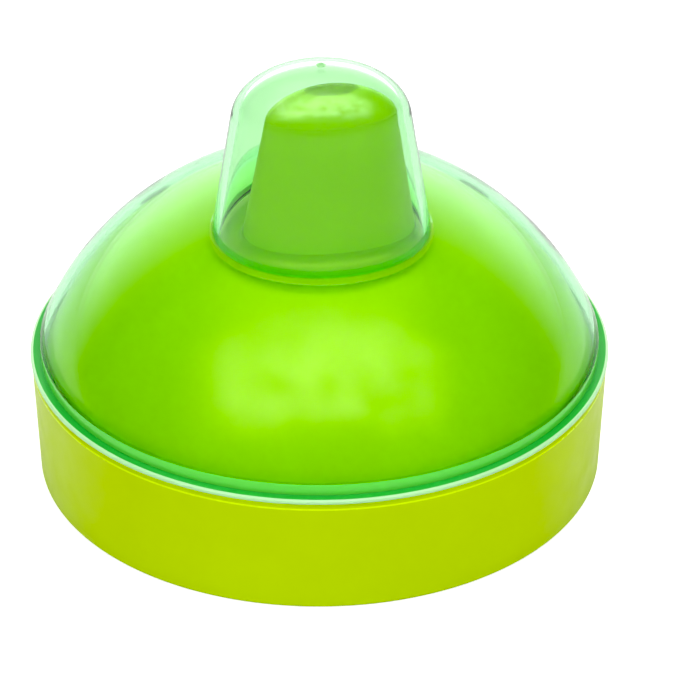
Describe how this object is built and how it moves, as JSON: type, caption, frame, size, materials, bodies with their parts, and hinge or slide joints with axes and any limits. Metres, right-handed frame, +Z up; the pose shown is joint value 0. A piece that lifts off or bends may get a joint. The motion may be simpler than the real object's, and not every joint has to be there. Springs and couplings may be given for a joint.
{
  "type": "drinking spout lid",
  "caption": "Domed screw-on drinking spout lid for a children's bottle, with a clear hooded travel cover and a pull-out valve.",
  "frame": {"origin": "centre of the collar's bottom edge, on the surface that the lid stands on", "axes": "+Z up along the thread's axis, -Y to the side with the drinking spout, +X to the right seen from the spout's side"},
  "size_m": [0.0858, 0.0858, 0.0719],
  "materials": {
    "lime_plastic": "semi-gloss moulded polypropylene, lime green",
    "clear_green_plastic": "polished clear plastic with a light mint green tint",
    "white_plastic": "natural satin polypropylene",
    "silicone": "translucent natural silicone"
  },
  "bodies": {
    "collar": {"screw_collar": "lime_plastic"},
    "dome": {"spout_dome": "lime_plastic", "bottle_seal_ring": "silicone", "vent_valve": "silicone"},
    "cover": {"travel_cover": "clear_green_plastic"},
    "valve": {"valve_carrier": "white_plastic", "slit_valve": "silicone", "valve_retainer": "white_plastic", "carrier_seal": "silicone"}
  },
  "joints": [
    {"name": "collar_turn", "type": "hinge", "parent": "collar", "child": "dome", "pos_m": [0, 0, 0.0175], "axis": [0, 0, 1], "continuous": true},
    {"name": "cover_lift", "type": "slide", "parent": "dome", "child": "cover", "axis": [0, 0, 1], "range_m": [0, 0.06]},
    {"name": "valve_pull", "type": "slide", "parent": "dome", "child": "valve", "axis": [0, 0, -1], "range_m": [0, 0.045]}
  ]
}
